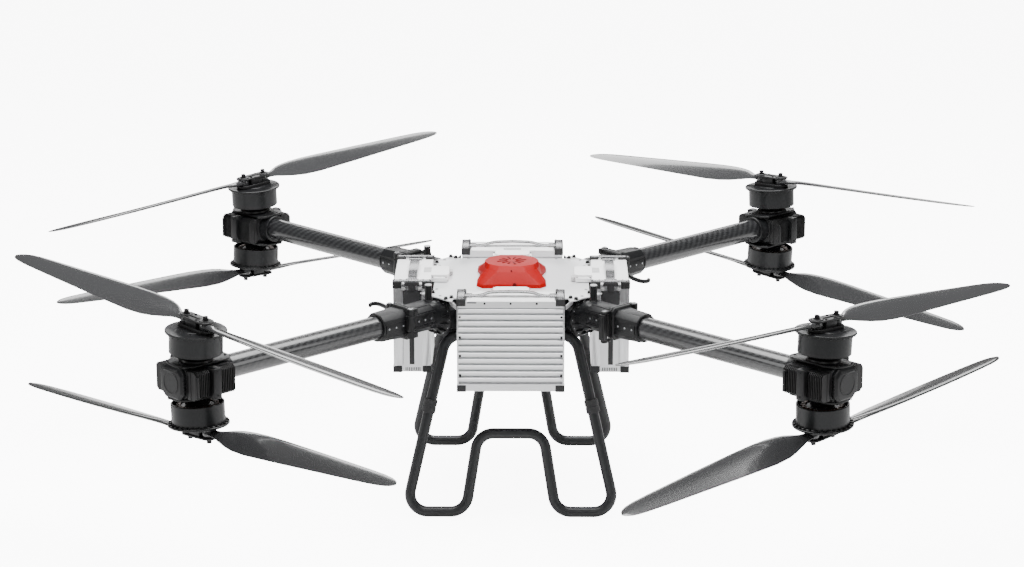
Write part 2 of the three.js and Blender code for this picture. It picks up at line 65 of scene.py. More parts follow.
soft_panel("overhead_panel", (0, 0.2, 3.6), (0, 0, 0.5), (4.2, 3.0), 410)
soft_panel("front_panel", (0, -5.5, 3.6), (0, 0, 0.4), (3.5, 1.4), 62)
soft_panel("left_panel", (-4.5, -1.5, 1.8), (0, 0, 0.5), (1.2, 2.2), 34)
soft_panel("right_panel", (4.5, -1.5, 1.8), (0, 0, 0.5), (1.2, 2.2), 34)
soft_panel("back_panel", (0, 4.5, 2.2), (0, 0, 0.5), (4, 1.2), 60)

world = bpy.data.worlds.new("studio_air")
world.use_nodes = True
world.node_tree.nodes["Background"].inputs["Color"].default_value = (1, 1, 1, 1)
world.node_tree.nodes["Background"].inputs["Strength"].default_value = 0.16
bpy.context.scene.world = world

floor_shape = bmesh.new()
bmesh.ops.create_grid(floor_shape, x_segments=1, y_segments=1, size=30)
floor_mesh = bpy.data.meshes.new("studio_floor")
floor_shape.to_mesh(floor_mesh)
floor_shape.free()
floor = bpy.data.objects.new("studio_floor", floor_mesh)
bpy.context.scene.collection.objects.link(floor)
floor_finish = bpy.data.materials.new("studio_floor")
floor_finish.use_nodes = True
floor_shader = floor_finish.node_tree.nodes["Principled BSDF"]
floor_shader.inputs["Base Color"].default_value = (0.86, 0.86, 0.86, 1)
floor_shader.inputs["Roughness"].default_value = 0.9
floor_shader.inputs["Specular IOR Level"].default_value = 0.1
floor_shader.inputs["Emission Color"].default_value = (1, 1, 1, 1)
seen = floor_finish.node_tree.nodes.new("ShaderNodeLightPath")
glow = floor_finish.node_tree.nodes.new("ShaderNodeMapRange")
glow.inputs["To Min"].default_value = 0.05
glow.inputs["To Max"].default_value = 9.0
floor_finish.node_tree.links.new(seen.outputs["Is Camera Ray"], glow.inputs["Value"])
floor_finish.node_tree.links.new(glow.outputs["Result"], floor_shader.inputs["Emission Strength"])
floor_mesh.materials.append(floor_finish)

# ------------------------------------------------------------------ hub: tub and lower plate
# A black coated tub carries the arm roots on its four corner ears and is closed below by a
# flat plate. Both keep their measured shape and get a satin coating.


def surface_variation():
    """Slow tone drift and fine grain shared by the coated, moulded and metal surfaces."""
    group = bpy.data.node_groups.new("Surface Variation", "ShaderNodeTree")
    face = group.interface
    face.new_socket("Vector", in_out="INPUT", socket_type="NodeSocketVector")
    for name, value in (
        ("Tone Scale", 6.0), ("Tone Amount", 0.1), ("Grain Scale", 900.0),
        ("Roughness", 0.4), ("Roughness Spread", 0.1),
    ):
        socket = face.new_socket(name, in_out="INPUT", socket_type="NodeSocketFloat")
        socket.default_value = value
    base = face.new_socket("Base", in_out="INPUT", socket_type="NodeSocketColor")
    base.default_value = (0.5, 0.5, 0.5, 1)
    face.new_socket("Color", in_out="OUTPUT", socket_type="NodeSocketColor")
    face.new_socket("Roughness", in_out="OUTPUT", socket_type="NodeSocketFloat")
    face.new_socket("Grain", in_out="OUTPUT", socket_type="NodeSocketFloat")
    nodes, links = group.nodes, group.links
    inward = nodes.new("NodeGroupInput")
    outward = nodes.new("NodeGroupOutput")
    drift = nodes.new("ShaderNodeTexNoise")
    drift.inputs["Detail"].default_value = 4
    links.new(inward.outputs["Vector"], drift.inputs["Vector"])
    links.new(inward.outputs["Tone Scale"], drift.inputs["Scale"])
    centred = nodes.new("ShaderNodeMath")
    centred.operation = "SUBTRACT"
    centred.inputs[1].default_value = 0.5
    links.new(drift.outputs["Fac"], centred.inputs[0])
    tone = nodes.new("ShaderNodeMath")
    tone.operation = "MULTIPLY_ADD"
    tone.inputs[2].default_value = 1.0
    links.new(centred.outputs[0], tone.inputs[0])
    links.new(inward.outputs["Tone Amount"], tone.inputs[1])
    tinted = nodes.new("ShaderNodeVectorMath")
    tinted.operation = "SCALE"
    links.new(inward.outputs["Base"], tinted.inputs[0])
    links.new(tone.outputs[0], tinted.inputs["Scale"])
    links.new(tinted.outputs[0], outward.inputs["Color"])
    rough = nodes.new("ShaderNodeMath")
    rough.operation = "MULTIPLY_ADD"
    links.new(centred.outputs[0], rough.inputs[0])
    links.new(inward.outputs["Roughness Spread"], rough.inputs[1])
    links.new(inward.outputs["Roughness"], rough.inputs[2])
    links.new(rough.outputs[0], outward.inputs["Roughness"])
    grain = nodes.new("ShaderNodeTexNoise")
    grain.inputs["Detail"].default_value = 2
    links.new(inward.outputs["Vector"], grain.inputs["Vector"])
    links.new(inward.outputs["Grain Scale"], grain.inputs["Scale"])
    links.new(grain.outputs["Fac"], outward.inputs["Grain"])
    return group


VARIATION = surface_variation()


def finish(name, color, rough, metal=0.0, coat=0.0, tone=0.12, tone_scale=6.0, grain=900.0,
           bump=0.05, spread=0.1, stretch=(1, 1, 1), specular=0.5):
    """A solid finish with its own drift of tone and gloss and its own grain."""
    material = bpy.data.materials.new(name)
    material.use_nodes = True
    nodes, links = material.node_tree.nodes, material.node_tree.links
    shader = nodes["Principled BSDF"]
    shader.inputs["Metallic"].default_value = metal
    shader.inputs["Coat Weight"].default_value = coat
    shader.inputs["Coat Roughness"].default_value = 0.08
    shader.inputs["Specular IOR Level"].default_value = specular
    where = nodes.new("ShaderNodeTexCoord")
    mapping = nodes.new("ShaderNodeMapping")
    mapping.inputs["Scale"].default_value = stretch
    links.new(where.outputs["Object"], mapping.inputs["Vector"])
    mix = nodes.new("ShaderNodeGroup")
    mix.node_tree = VARIATION
    mix.inputs["Base"].default_value = (*color, 1)
    mix.inputs["Tone Scale"].default_value = tone_scale
    mix.inputs["Tone Amount"].default_value = tone
    mix.inputs["Grain Scale"].default_value = grain
    mix.inputs["Roughness"].default_value = rough
    mix.inputs["Roughness Spread"].default_value = spread
    links.new(mapping.outputs[0], mix.inputs["Vector"])
    links.new(mix.outputs["Color"], shader.inputs["Base Color"])
    links.new(mix.outputs["Roughness"], shader.inputs["Roughness"])
    relief = nodes.new("ShaderNodeBump")
    relief.inputs["Strength"].default_value = bump
    relief.inputs["Distance"].default_value = 0.001
    links.new(mix.outputs["Grain"], relief.inputs["Height"])
    links.new(relief.outputs["Normal"], shader.inputs["Normal"])
    return material


HUB_COATING = finish("hub_coating", (0.012, 0.0125, 0.014), 0.42, tone=0.3, bump=0.12, specular=0.35)
BOARD_GREEN = finish("board_green", (0.02, 0.12, 0.05), 0.5, tone=0.4, tone_scale=60)


def coat_node(name, material):
    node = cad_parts[name]
    node.data.materials.clear()
    node.data.materials.append(material)


coat_node("hub_frame", HUB_COATING)
coat_node("bottom_plate", HUB_COATING)
coat_node("flight_controller", HUB_COATING)
coat_node("power_board", BOARD_GREEN)
hub_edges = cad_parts["hub_frame"].modifiers.new("soft_edges", "BEVEL")
hub_edges.width = 0.0012
hub_edges.segments = 2

# ------------------------------------------------------------------ top plate
# Pressed silver sheet, 4 mm thick, with a flared ear at each corner. Tall black thumb nuts and
# flat screws hold it down, and folded tabs stiffen the ears beside the batteries.
MM = 0.001
ARMS = {"front_left": 225, "front_right": 315, "back_left": 135, "back_right": 45}
SIDES = {"front": 270, "back": 90, "left": 180, "right": 0}


def loft(shape, rings):
    """Skin through rings of equal point count, closed at both ends."""
    count = len(rings[0])
    ring = [shape.verts.new(point) for point in rings[0]]
    shape.faces.new(ring)
    for points in rings[1:]:
        edges = [shape.edges.get((ring[i], ring[(i + 1) % count])) for i in range(count)]
        made = bmesh.ops.extrude_edge_only(shape, edges=edges)["geom"]
        fresh = {v for v in made if isinstance(v, bmesh.types.BMVert)}
        following = []
        for vert in ring:
            twin = next(e.other_vert(vert) for e in vert.link_edges if e.other_vert(vert) in fresh)
            following.append(twin)
        for vert, point in zip(following, points):
            vert.co = point
        ring = following
    shape.faces.new(ring)
    bmesh.ops.recalc_face_normals(shape, faces=shape.faces)


def soften(shape, width, segments=2, sharper_than=28, edges=None):
    """Bevels every edge sharper than the given angle."""
    limit = math.radians(sharper_than)
    chosen = [e for e in (edges or shape.edges) if len(e.link_faces) == 2 and e.calc_face_angle(0) > limit]
    bmesh.ops.bevel(shape, geom=chosen, offset=width, offset_type="OFFSET", segments=segments,
                    profile=0.5, affect="EDGES", material=-1, clamp_overlap=True)


def box_into(shape, x, y, z, width=0.0, segments=2, turn=None):
    """Adds a block spanning x, y and z (each low, high), with softened edges."""
    part = bmesh.new()
    bmesh.ops.create_cube(part, size=1)
    bmesh.ops.scale(part, vec=(x[1] - x[0], y[1] - y[0], z[1] - z[0]), verts=part.verts)
    middle = [(low + high) / 2 for low, high in (x, y, z)]
    bmesh.ops.translate(part, vec=middle, verts=part.verts)
    if width:
        soften(part, width, segments)
    absorb(shape, part, turn)


def absorb(shape, part, turn=None):
    """Moves all of part into shape, turned by a matrix."""
    if turn is not None:
        bmesh.ops.transform(part, matrix=turn, verts=part.verts)
        if turn.determinant() < 0:
            bmesh.ops.reverse_faces(part, faces=part.faces)
    carrier = bpy.data.meshes.new("carrier")
    part.to_mesh(carrier)
    part.free()
    shape.from_mesh(carrier)
    bpy.data.meshes.remove(carrier)


def slab_into(shape, outline, low, high, width=0.0, segments=2, turn=None):
    """Adds a flat outline of (x, y) points raised from low to high."""
    part = bmesh.new()
    loft(part, [[(x, y, low) for x, y in outline], [(x, y, high) for x, y in outline]])
    if width:
        soften(part, width, segments)
    absorb(shape, part, turn)


def turned_into(shape, profile, steps, turn=None):
    """Adds a profile of (radius, height) points, in millimetres, spun round Z."""
    part = bmesh.new()
    verts = [part.verts.new((r * MM, 0, h * MM)) for r, h in profile]
    edges = [part.edges.new(pair) for pair in zip(verts, verts[1:])]
    bmesh.ops.spin(part, geom=verts + edges, cent=(0, 0, 0), axis=(0, 0, 1), dvec=(0, 0, 0),
                   angle=math.tau, steps=steps, use_merge=True)
    bmesh.ops.remove_doubles(part, verts=part.verts, dist=1e-6)
    bmesh.ops.recalc_face_normals(part, faces=part.faces)
    absorb(shape, part, turn)


def fit(name, shape, material, body, turn=None, replaces=(), smooth=35):
    """Makes the finished piece from a shape and fastens it to its body."""
    mesh = bpy.data.meshes.new(name)
    shape.to_mesh(mesh)
    shape.free()
    if turn is not None:
        mesh.transform(turn)
    mesh.shade_smooth()
    mesh.set_sharp_from_angle(angle=math.radians(smooth))
    mesh.materials.append(material)
    piece = bpy.data.objects.new(name, mesh)
    bpy.context.scene.collection.objects.link(piece)
    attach(piece, body)
    if replaces:
        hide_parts(*replaces)


def about_z(degrees):
    return Matrix.Rotation(math.radians(degrees), 4, "Z")


def at(x, y, z):
    return Matrix.Translation((x * MM, y * MM, z * MM))


def mm(*values):
    return tuple(value * MM for value in values)


def flank(side, near, far):
    """Low and high ends of a band on one side of the middle."""
    return mm(*sorted((side * near, side * far)))


def screw_into(shape, place, radius=3.0, height=2.2, steps=12):
    """Adds a socket-headed screw with its seat at the origin of a placing matrix."""
    socket = 0.35 * height
    profile = [(0, socket), (0.45 * radius, socket), (0.5 * radius, height), (0.84 * radius, height),
               (radius, 0.78 * height), (radius, 0)]
    turned_into(shape, profile, steps, place)


SILVER_SHEET = finish("silver_sheet", (0.8, 0.805, 0.815), 0.36, metal=0.45, tone=0.08, bump=0.04,
                      grain=400, stretch=(0.06, 1, 1))
SCREW_BLACK = finish("screw_black", (0.01, 0.01, 0.011), 0.4, metal=0.3, bump=0.05, specular=0.35)
SCREW_SILVER = finish("screw_silver", (0.45, 0.46, 0.47), 0.3, metal=0.9, bump=0.05)

PLATE_HIGH = 570
THUMB_NUT = [(0, 6.6), (3.6, 6.6), (4.8, 5.6), (4.8, 2.4), (5.8, 2), (5.8, 0)]
quarter = [(205, 148), (238.3, 153.4), (153.4, 238.3), (148, 205)]
plate_outline = []
for turns in range(4):
    spin = about_z(90 * turns)
    plate_outline += [tuple((spin @ Vector((*mm(x, y), 0)))[:2]) for x, y in quarter]
plate = bmesh.new()
slab_into(plate, plate_outline, *mm(566, PLATE_HIGH), width=0.8 * MM)
fit("top_sheet", plate, SILVER_SHEET, "airframe", replaces=["top_plate"])

plate_screws = bmesh.new()
thumb_nuts = bmesh.new()
sheet_tabs = bmesh.new()
for sx in (-1, 1):
    for sy in (-1, 1):
        for x, y in ((155, 205), (169, 217), (205, 155), (217, 169)):
            turned_into(thumb_nuts, THUMB_NUT, 14, at(sx * x, sy * y, PLATE_HIGH))
        for x, y in ((185, 185), (196, 120), (120, 196)):
            screw_into(plate_screws, at(sx * x, sy * y, PLATE_HIGH), 4.0, 1.6)
        tab = [(160, 200), (162, 201.4), (143, 258), (141, 257.4)]
        slab_into(sheet_tabs, [mm(sx * x, sy * y) for x, y in tab], *mm(553, 565.5), width=0.4 * MM)
fit("top_sheet_screws", plate_screws, SCREW_SILVER, "airframe")
fit("top_sheet_nuts", thumb_nuts, SCREW_BLACK, "airframe")
fit("top_sheet_tabs", sheet_tabs, SILVER_SHEET, "airframe")

# ------------------------------------------------------------------ red cover
# Gloss red moulded cover over the antennas, ten-sided at the crown, with facets running down to
# a thick skirt. A raised generic fan pattern decorates the crown.
COVER_RED = finish("cover_red", (0.28, 0.0002, 0.0006), 0.4, tone=0.06, grain=500, bump=0.03, specular=0.1)
COVER_DARK = finish("cover_dark", (0.09, 0.0002, 0.0004), 0.5, tone=0.2, specular=0.08)


def mirrored(quadrant):
    """Four mirrored copies of a quarter outline, joined in order."""
    right = list(quadrant)
    return (right + [(-x, y) for x, y in reversed(right)] + [(-x, -y) for x, y in right]
            + [(x, -y) for x, y in reversed(right)])


COVER_RINGS = [
    (0.4, [(80, 13), (92, 57), (92.5, 90), (76, 112), (36, 110)]),
    (9, [(79, 13), (91, 57), (90, 87), (74, 108), (36, 106)]),
    (36, [(73, 12), (67, 43), (60, 52), (38, 76), (33, 78)]),
    (47, [(71, 9), (61, 35), (57, 39), (32, 59), (28, 60)]),
]
cover = bmesh.new()
loft(cover, [[mm(x, y, PLATE_HIGH + z) for x, y in mirrored(ring)] for z, ring in COVER_RINGS])
underside = [f for f in cover.faces if f.normal.z < -0.9]
bmesh.ops.delete(cover, geom=underside, context="FACES_ONLY")
soften(cover, 0.9 * MM, 2, 8)
bmesh.ops.solidify(cover, geom=cover.faces[:], thickness=2.6 * MM)
fit("cover_shell", cover, COVER_RED, "airframe", replaces=["red_hood"], smooth=12)

crown_fan = bmesh.new()
for k in range(12):
    turn = about_z(30 * k + 15) @ at(0, 0, PLATE_HIGH + 46.9)
    reach = 34 if k % 3 else 40
    slab_into(crown_fan, [mm(12, -1.4), mm(reach, -3.4), mm(reach, 3.4), mm(12, 1.4)], 0, 0.9 * MM,
              width=0.3 * MM, turn=turn)
fit("cover_fan", crown_fan, COVER_DARK, "airframe")
cover_trim = bmesh.new()
box_into(cover_trim, mm(4, 13), mm(-110.2, -104), mm(PLATE_HIGH + 4, PLATE_HIGH + 13), 0.5 * MM)
screw_into(cover_trim, at(0, -76, PLATE_HIGH + 38.6) @ Matrix.Rotation(math.radians(25), 4, "X"), 2.0, 1.4)
fit("cover_port", cover_trim, COVER_DARK, "airframe")

# ------------------------------------------------------------------ landing gear
# Two hoops of bent tube, powder coated dark grey, held in saddles at the hub's corners. A rubber
# collar clamps each leg where the straight lower part begins.
GEAR_COATING = finish("gear_coating", (0.018, 0.0185, 0.02), 0.36, metal=0.1, specular=0.4, tone=0.15,
                      grain=1400, bump=0.16)
COLLAR_RUBBER = finish("collar_rubber", (0.015, 0.015, 0.016), 0.6, tone=0.2, bump=0.2)


def rounded_path(corners, arc=7):
    """Points along a closed line of (corner, bend radius) with every corner rounded."""
    path = []
    count = len(corners)
    for i, (corner, bend) in enumerate(corners):
        before = (corners[i - 1][0] - corner).normalized()
        after = (corners[(i + 1) % count][0] - corner).normalized()
        half = before.angle(after) / 2
        centre = corner + (before + after).normalized() * (bend / math.sin(half))
        start = corner + before * (bend / math.tan(half))
        axis = before.cross(after).normalized()
        turn = math.pi - 2 * half
        steps = max(2, int(math.degrees(turn) / arc))
        for k in range(steps + 1):
            path.append(centre + Matrix.Rotation(-turn * k / steps, 3, axis) @ (start - centre))
    return path


def tube_into(shape, path, radius, sides=24):
    """Adds a closed round tube along a loop of points."""
    part = bmesh.new()
    rings = []
    count = len(path)
    tangent = (path[1] - path[-1]).normalized()
    up = tangent.orthogonal().normalized()
    for i, point in enumerate(path):
        fresh = (path[(i + 1) % count] - path[i - 1]).normalized()
        up = (tangent.rotation_difference(fresh) @ up).normalized()
        tangent = fresh
        side = tangent.cross(up).normalized()
        stance = Matrix((side, up, tangent)).transposed().to_4x4()
        stance.translation = point
        made = bmesh.ops.create_circle(part, cap_ends=False, segments=sides, radius=radius, matrix=stance)
        rings.append({e for v in made["verts"] for e in v.link_edges})
    for i in range(count):
        bmesh.ops.bridge_loops(part, edges=list(rings[i] | rings[(i + 1) % count]))
    bmesh.ops.recalc_face_normals(part, faces=part.faces)
    absorb(shape, part)


def leg_corners(side):
    def low(x, z, bend):
        return Vector(mm(side * x, -(295 - 0.175 * (z - 14)), z)), bend * MM

    return [
        (Vector(mm(side * 168, -194.5, 468)), 50 * MM),
        (Vector(mm(side * 212.6, -248.5, 283)), 300 * MM),
        low(275, 14, 46), low(118, 14, 46), low(85, 218, 46),
    ]


COLLAR = [(14.1, -17.5), (17, -17.5), (18, -16.5), (18, -3), (17, -2),
          (17, 2), (18, 3), (18, 16.5), (17, 17.5), (14.1, 17.5)]
TUBE_RADIUS = 14
hoop_path = rounded_path(leg_corners(1) + leg_corners(-1)[::-1])
for side, turn in (("front", about_z(0)), ("back", about_z(180))):
    hoop = bmesh.new()
    tube_into(hoop, hoop_path, TUBE_RADIUS * MM)
    fit(f"gear_hoop_{side}", hoop, GEAR_COATING, "airframe", turn,
        replaces=[f"landing_gear_{side}"], smooth=60)
    collars = bmesh.new()
    for hand in (-1, 1):
        along = Vector((hand * 62, -47, -269)).normalized()
        seat = at(hand * 212, -247.5, 290) @ along.to_track_quat("Z", "Y").to_matrix().to_4x4()
        turned_into(collars, COLLAR, 28, seat)
    fit(f"gear_collars_{side}", collars, COLLAR_RUBBER, "airframe", turn)

# ------------------------------------------------------------------ batteries
# Four packs in pressed aluminium: a ribbed broad face outward, plain narrow sides with a grip
# slot, black rubber guards on every corner and a white head that hooks over the top plate.
CASE_METAL = finish("case_metal", (0.7, 0.705, 0.715), 0.3, metal=0.8, tone=0.06, grain=300, bump=0.05,
                    stretch=(1, 1, 0.05))
CASE_WHITE = finish("case_white", (0.96, 0.96, 0.96), 0.38, tone=0.02, bump=0.03)
GUARD_RUBBER = finish("guard_rubber", (0.014, 0.014, 0.015), 0.62, tone=0.25, grain=700, bump=0.3)
LATCH_GREY = finish("latch_grey", (0.5, 0.5, 0.5), 0.42, tone=0.06)
STRAP_METAL = finish("strap_metal", (0.34, 0.34, 0.35), 0.24, metal=0.95, tone=0.06, grain=200, bump=0.04,
                     stretch=(0.1, 0.1, 1))
SLOT_DARK = finish("slot_dark", (0.03, 0.03, 0.032), 0.7, tone=0.2)
OUTWARD = Matrix.Rotation(math.radians(90), 4, "Y")  # turns an upright shape to point along +X

CASE = {"inner": 212, "outer": 310, "half": 137, "low": 349, "high": 588}
RIB_LOW = 369
RIB_PITCH = 16.8
RIBS = 12
RIB_PROFILE = (  # share of the pitch, depth below the face
    (0.0, 6.8), (0.05, 5.6), (0.16, 4.4), (0.34, 2.8), (0.56, 1.2), (0.76, 0.2), (0.84, 0.0),
    (0.91, 1.0), (0.96, 3.4),
)


def ribbed_outline():
    """Side outline of the case: plain bottom and top bands with rounded pressed ribs between."""
    face = CASE["outer"]
    top = RIB_LOW + RIB_PITCH * RIBS
    points = [(CASE["inner"], CASE["low"]), (face - 0.5, CASE["low"]), (face - 0.5, RIB_LOW - 1.5)]
    for k in range(RIBS):
        points += [(face - depth, RIB_LOW + RIB_PITCH * (k + share)) for share, depth in RIB_PROFILE]
    return points + [(face - 6.5, top), (face - 0.5, top + 1.2), (face - 0.5, CASE["high"]),
                     (CASE["inner"], CASE["high"])]


def battery_case():
    shape = bmesh.new()
    loft(shape, [[mm(x, y, z) for x, z in ribbed_outline()] for y in (-CASE["half"], CASE["half"])])
    for sy in (-1, 1):
        box_into(shape, mm(300, 310.4), flank(sy, 134.2, 138.6), mm(352, 586), 0.7 * MM)
        for x in (226, 296):
            box_into(shape, mm(x - 9, x + 9), flank(sy, 136, 138.2), mm(366, 590), 0.8 * MM)
    return shape


def battery_guards():
    """Rubber corner blocks, taller at the top, with small cleats inside each end plate."""
    shape = bmesh.new()
    for x in ((210.3, 234), (288, 312)):
        for sy in (-1, 1):
            y = flank(sy, 139.5, 115.5)
            for z in ((347, 365), (577, 595.6)):
                box_into(shape, mm(*x), y, mm(*z), 1.6 * MM, 3)
    for sy in (-1, 1):
        for x in (212, 229, 290, 306):
            box_into(shape, mm(x, x + 4.5), flank(sy, 117.5, 122), mm(594, 597), 0.6 * MM)
    return shape


def battery_top():
    """White lid and the head that hooks over the top plate."""
    shape = bmesh.new()
    box_into(shape, mm(213, 309), mm(-113, 113), mm(586, 590), 1.2 * MM, 3)
    head = [(262, -47), (262, 47), (176, 47), (166, 38), (166, -38), (176, -47)]
    slab_into(shape, [mm(x, y) for x, y in head], *mm(571.2, 590.5), width=2.2 * MM, segments=3)
    for sy in (-1, 1):
        y = flank(sy, 47, 53)
        box_into(shape, mm(170, 214), y, mm(571.4, 583), 1.6 * MM, 3)
    return shape


def battery_caps():
    """Bright end plates over the top guards, and the blocks that hold the strap's ends."""
    shape = bmesh.new()
    for sy in (-1, 1):
        y = flank(sy, 119.5, 136)
        box_into(shape, mm(214.5, 307.5), y, mm(594, 596.6), 0.8 * MM)
        y = flank(sy, 100, 118)
        box_into(shape, mm(244, 278), y, mm(589, 593.8), 0.9 * MM)
    return shape


def battery_greys():
    """Button on the lid, stop on the head and the side latches."""
    shape = bmesh.new()
    box_into(shape, mm(214, 234), mm(-24, 24), mm(590, 591.6), 1.0 * MM)
    box_into(shape, mm(158, 168), mm(-42, -20), mm(571.2, 582), 1.4 * MM)
    for sy in (-1, 1):
        for x in (240, 283):
            y = flank(sy, 136, 139.4)
            box_into(shape, mm(x - 4.5, x + 4.5), y, mm(571.5, 579.5), 0.8 * MM)
    return shape


def battery_darks():
    """Connector, recess, grip slot, vents and a short slit on the case."""
    shape = bmesh.new()
    for sy in (-1, 1):
        y = flank(sy, 136.5, 139.4)
        box_into(shape, mm(241, 281), y, mm(584, 594), 0.8 * MM)
        box_into(shape, mm(252, 270), y, mm(570, 586), 0.6 * MM)
        y = flank(sy, 136.8, 137.6)
        box_into(shape, mm(236, 284), y, mm(530, 572), 0.3 * MM)
        box_into(shape, mm(255.5, 268.5), y, mm(369, 528), 0.3 * MM)
        for k in range(9):
            box_into(shape, mm(240 + 4.6 * k, 242.4 + 4.6 * k), y, mm(351, 361), 0.2 * MM)
        for x in (284, 306.4):
            box_into(shape, mm(x, x + 0.7), y, mm(368, 592), 0)
    box_into(shape, mm(309.8, 310.5), mm(-112, -88), mm(584.6, 587.4), 0.2 * MM)
    for sx in (212.5, 287):
        for sy in (-1, 1):
            y = flank(sy, 117, 138)
            box_into(shape, mm(sx, sx + 22), y, mm(592, 594.4), 0.4 * MM)
    return shape


def battery_screws():
    shape = bmesh.new()
    for y in (-67, 0, 67):
        screw_into(shape, at(310, y, 584) @ OUTWARD, 2.8, 1.4)
    for sy in (-1, 1):
        for z in (391, 444, 493, 548):
            screw_into(shape, at(309, sy * 130.5, z) @ OUTWARD, 3.0, 1.8)
        for x in (174, 209):
            screw_into(shape, at(x, sy * 50, 583), 2.2, 1.0)
    return shape


def strap_shape():
    """Sprung strap: flat at both ends, lifting into a shallow arch over the middle."""
    shape = bmesh.new()
    line = [(-117, 590.6), (-88, 590.8), (-74, 593.6), (-60, 599), (-44, 601.6), (0, 603.2),
            (44, 601.6), (60, 599), (74, 593.6), (88, 590.8), (117, 590.6)]
    outline = [(y, z + 1.4) for y, z in line] + [(y, z - 1.2) for y, z in reversed(line)]
    loft(shape, [[mm(x, y, z) for y, z in outline] for x in (249, 273)])
    soften(shape, 0.5 * MM, 2, 60)
    return shape


battery_parts = [
    ("case", battery_case, CASE_METAL, "battery_case"),
    ("guards", battery_guards, GUARD_RUBBER, "hub_black"),
    ("lid", battery_top, CASE_WHITE, "battery_case"),
    ("end_plates", battery_caps, STRAP_METAL, "strap_metal"),
    ("button_and_latches", battery_greys, LATCH_GREY, "battery_case"),
    ("connectors", battery_darks, SLOT_DARK, "hub_black"),
    ("screws", battery_screws, SCREW_BLACK, "hub_black"),
]
for side, angle in SIDES.items():
    for part, maker, material, slot in battery_parts:
        covers = [f"battery_{side}"] if part == "case" else ()
        fit(f"pack_{part}_{side}", maker(), material, f"battery_{side}", about_z(angle), covers)
    fit(f"pack_strap_{side}", strap_shape(), STRAP_METAL, f"battery_{side}", about_z(angle),
        [f"battery_handle_{side}"])

# ------------------------------------------------------------------ arm roots
# Black cast arm roots: a flared foot bolted to the hub's ear, an eight-sided neck with a row of
# screws on each side, and a square split flange with the fold hinge and the latch pin.
CAST_BLACK = finish("cast_black", (0.007, 0.0073, 0.008), 0.36, tone=0.3, grain=700, bump=0.12, specular=0.3)
POST_TOP = finish("post_top", (0.42, 0.42, 0.43), 0.4, tone=0.1)
ARM_Z = 529
HINGE = (406, 44)
LATCH = (392, -52)


def eight(u, half, tall, chamfer, middle=ARM_Z):
    """Eight-sided ring square to the arm at distance u."""
    a, b, c = half, tall, chamfer
    ring = [(a, b - c), (a - c, b), (c - a, b), (-a, b - c)]
    ring += [(-y, -z) for y, z in ring]
    return [mm(u, y, middle + z) for y, z in ring]


def oval(u, half, tall, middle, squareness=2.0, count=40):
    """Ring between an ellipse and a rounded rectangle, square to the arm at distance u."""
    ring = []
    for k in range(count):
        c, s = math.cos(math.tau * k / count), math.sin(math.tau * k / count)
        y = half * math.copysign(abs(c) ** (2 / squareness), c)
        z = tall * math.copysign(abs(s) ** (2 / squareness), s)
        ring.append(mm(u, y, middle + z))
    return ring


def barrel(radius, low, high, bore=0.0):
    """Profile of a barrel with chamfered rims, open through the middle where it has a bore."""
    wall = [(bore, low), (radius - 1, low), (radius, low + 1), (radius, high - 1),
            (radius - 1, high), (bore, high)]
    return wall + wall[:1] if bore else wall


def root_shape():
    shape = bmesh.new()
    foot = bmesh.new()
    loft(foot, [oval(265.4, 48, 48, 515.5), oval(266.4, 49.5, 49.5, 515.5), oval(270.6, 49.5, 49.5, 515.5),
                oval(271.8, 48.4, 48.4, 515.5), oval(273, 45, 45, 516, 2.1), oval(278, 41.5, 42, 518.5, 2.2),
                oval(286, 39, 40, 523, 2.5), oval(295, 37, 38.4, 527, 2.9), oval(306, 35.6, 37.4, 529, 3.4),
                oval(318, 34, 36, 529, 3.4)])
    absorb(shape, foot)
    for k in range(12):
        turn = Matrix.Translation(mm(0, 0, 517)) @ Matrix.Rotation(math.radians(30 * k + 15), 4, "X")
        slab_into(shape, [mm(271, 38), mm(271, 48.2), mm(275, 47.4), mm(290, 41.5), mm(297, 36)],
                  *mm(-1.6, 1.6), width=0.5 * MM, turn=turn)
    neck = bmesh.new()
    loft(neck, [eight(303, 34.5, 36.5, 15.5), eight(388, 33, 34, 14.5)])
    soften(neck, 1.6 * MM, 3, 20)
    absorb(shape, neck)
    flange = bmesh.new()
    loft(flange, [eight(384, 34, 38, 9), eight(389, 38, 43, 9), eight(399.4, 38, 43, 9)])
    soften(flange, 1.4 * MM, 3, 20)
    absorb(shape, flange)
    for side in (-1, 1):
        for z in (497, 561):
            box_into(shape, mm(312, 386), flank(side, 19, 22), mm(z - 2, z + 2), 0.8 * MM)
        for z in (513, 545):
            box_into(shape, mm(310, 384), flank(side, 33, 36), mm(z - 2, z + 2), 0.8 * MM)
    for low, high in ((494, 511), (554, 571)):
        turned_into(shape, barrel(10, low, high), 28, at(*HINGE, 0))
        box_into(shape, mm(388, 399.4), mm(30, 52), mm(low + 0.5, high - 0.5), 1.0 * MM)
    for low, high in ((482, 489), (558, 565)):
        turned_into(shape, barrel(9, low, high), 28, at(*LATCH, 0))
        box_into(shape, mm(386, 399.4), mm(-52, -34), mm(low + 0.3, high - 0.3), 0.8 * MM)
    turned_into(shape, [(0, 486), (3.5, 486), (3.5, 562), (0, 562)], 16, at(*LATCH, 0))
    turned_into(shape, [(0, 500), (5.5, 500), (5.5, 566), (0, 566)], 16, at(*HINGE, 0))
    return shape


def sideways(side):
    """Turns a screw to point out of one flank of an arm."""
    return Matrix.Rotation(math.radians(-90 * side), 4, "X")


